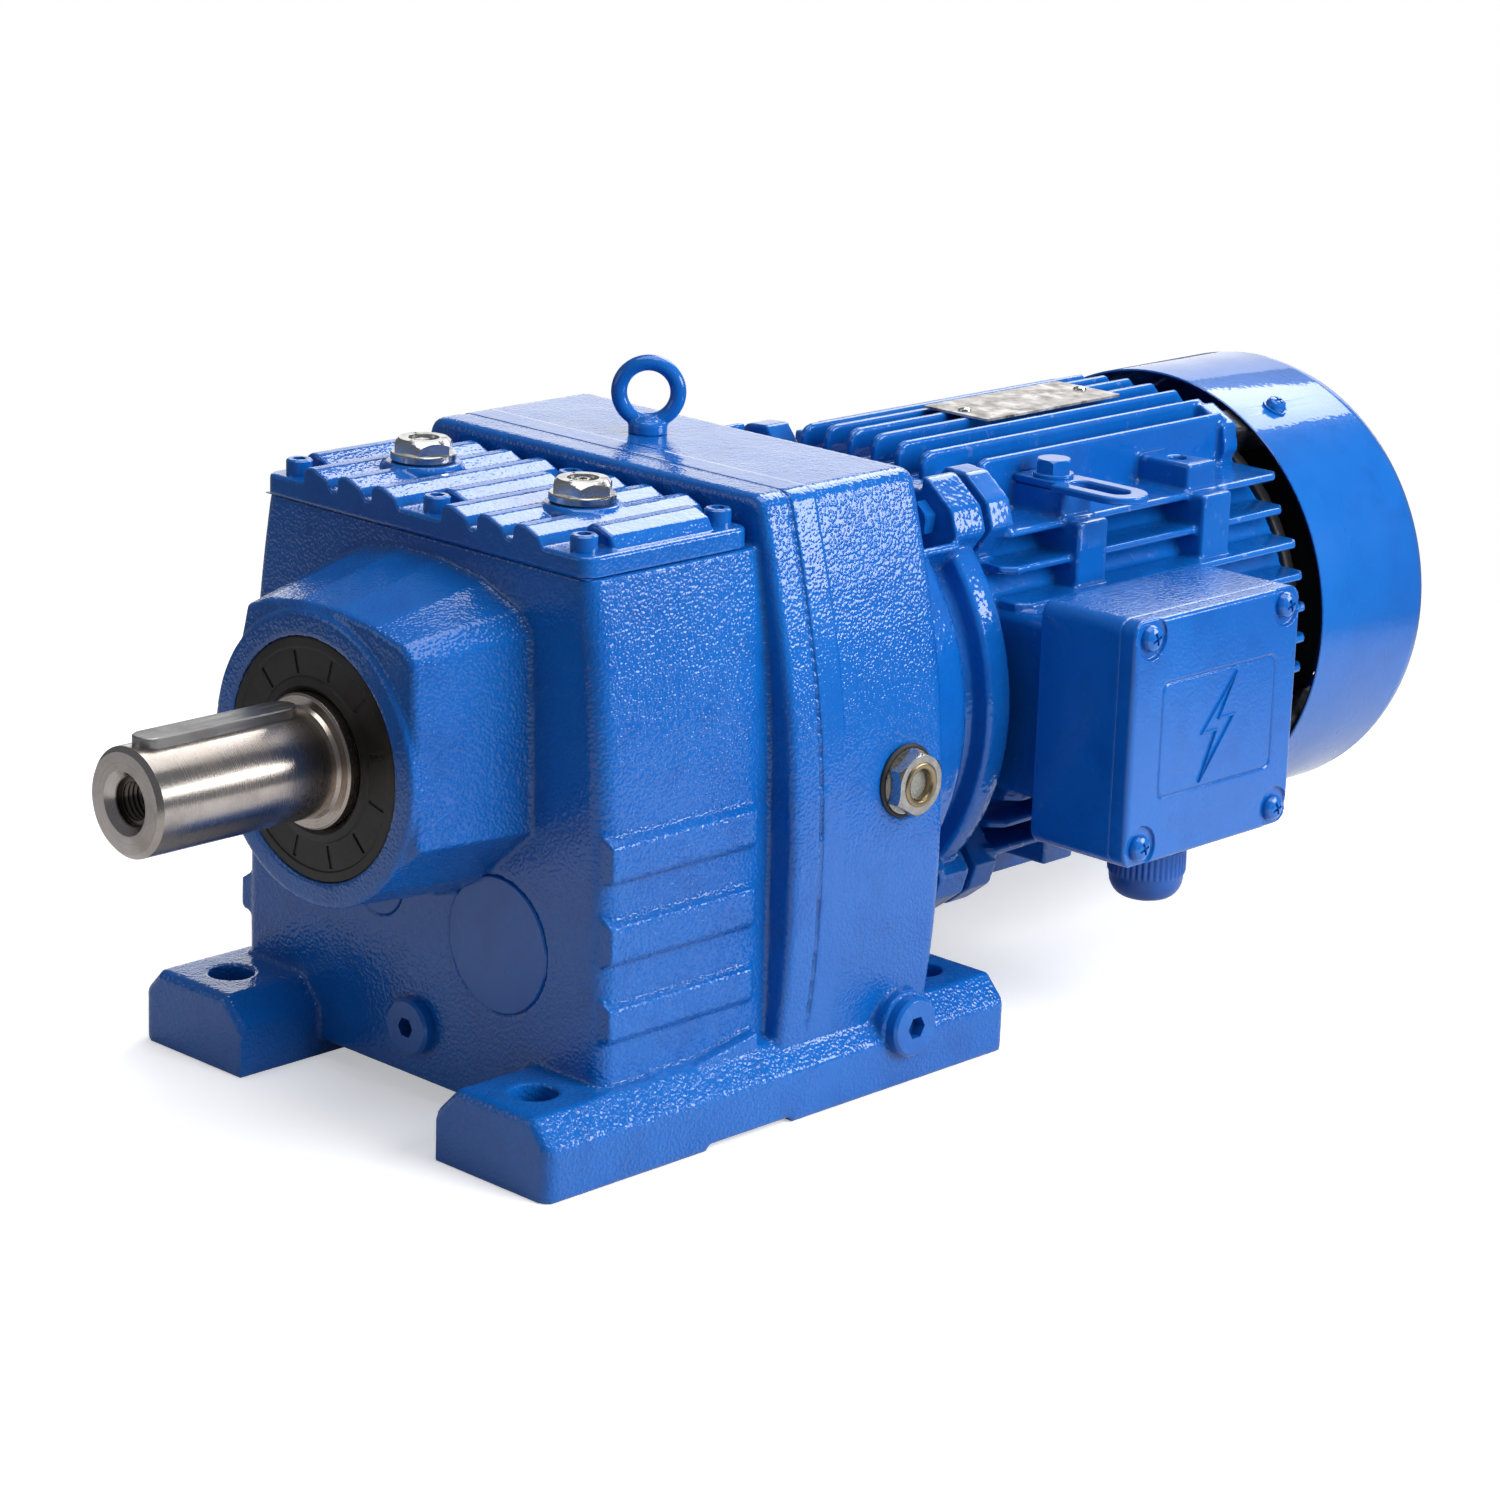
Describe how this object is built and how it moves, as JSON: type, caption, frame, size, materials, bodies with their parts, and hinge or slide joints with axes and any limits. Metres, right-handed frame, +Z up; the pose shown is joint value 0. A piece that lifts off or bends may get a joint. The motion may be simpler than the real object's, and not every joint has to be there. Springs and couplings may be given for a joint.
{
  "type": "inline gearbox with flanged motor",
  "caption": "Blue foot-mounted inline helical gearbox with a keyed output shaft and a flanged finned electric motor with a side terminal box.",
  "frame": {"origin": "centre of the four foot holes, on the base plane the feet stand on", "axes": "+Z up; -Y out along the output shaft and +Y towards the motor; +X towards the terminal box side"},
  "size_m": [0.2714, 0.6348, 0.2638],
  "materials": {
    "enamel": "glossy blue enamel over a cast texture",
    "zinc": "bright zinc plate",
    "gasket": "matt black gasket",
    "black_rubber": "matt black",
    "seal_rubber": "dark brown-black nitrile",
    "brass": "turned",
    "glass": "clear",
    "bearing_steel": "ground",
    "shaft_steel": "ground and polished",
    "key_steel": "drawn",
    "gear_steel": "machined",
    "black_steel": "black oxide",
    "black_plastic": "moulded",
    "gland_plastic": "moulded, overpainted blue",
    "copper": "varnished windings",
    "plate_metal": "worn"
  },
  "bodies": {
    "housing": {"gear_housing": "enamel", "cover_gasket": "gasket", "inspection_cover": "enamel", "cover_screws": "enamel", "filler_plug": "zinc", "breather_plug": "zinc", "plug_washers": "black_rubber", "lifting_eyebolt": "enamel", "sight_glass_body": "zinc", "sight_glass_ring": "brass", "sight_glass_lens": "glass", "side_drain_plug": "enamel", "front_drain_plug": "enamel", "large_bore_cap": "enamel", "small_bore_cap": "enamel", "output_seal": "seal_rubber", "output_front_bearing_outer": "bearing_steel", "output_rear_bearing_outer": "bearing_steel", "intermediate_bearing_outers": "bearing_steel", "motor_bearing_outers": "bearing_steel", "motor_flange": "enamel", "adapter_screws": "black_steel", "flange_bolts": "enamel", "motor_frame": "enamel", "stator_core": "gear_steel", "stator_windings": "copper", "rear_end_shield": "black_steel", "fan_cowl": "enamel", "cowl_screws": "enamel", "terminal_box": "enamel", "terminal_box_cover": "enamel", "terminal_box_screws": "enamel", "terminal_block": "black_plastic", "gland_body": "gland_plastic", "gland_nut": "gland_plastic", "nameplate": "plate_metal", "nameplate_rivets": "zinc", "lifting_lug": "enamel", "lug_bolt": "enamel", "lug_washer": "enamel"},
    "output": {"output_shaft": "shaft_steel", "output_key": "key_steel", "output_gear": "gear_steel", "output_gear_key": "key_steel", "output_front_bearing_inner": "bearing_steel", "output_rear_bearing_inner": "bearing_steel"},
    "intermediate": {"intermediate_shaft": "gear_steel", "intermediate_gear": "gear_steel", "intermediate_gear_key": "key_steel", "intermediate_bearing_inners": "bearing_steel"},
    "rotor": {"motor_shaft": "shaft_steel", "input_pinion": "gear_steel", "rotor_core": "gear_steel", "motor_bearing_inners": "bearing_steel", "cooling_fan": "black_plastic"}
  },
  "joints": [
    {"name": "motor_spin", "type": "hinge", "parent": "housing", "child": "rotor", "pos_m": [0, 0.23, 0.129], "axis": [0, 1, 0], "continuous": true},
    {"name": "intermediate_spin", "type": "hinge", "parent": "housing", "child": "intermediate", "pos_m": [0.04474, 0, 0.07068], "axis": [0, 1, 0], "continuous": true},
    {"name": "output_spin", "type": "hinge", "parent": "housing", "child": "output", "pos_m": [0, 0, 0.14], "axis": [0, 1, 0], "continuous": true}
  ],
  "couplings": [
    {"joint": "intermediate_spin", "follows": "motor_spin", "ratio": -0.3125},
    {"joint": "output_spin", "follows": "motor_spin", "ratio": 0.084135}
  ]
}
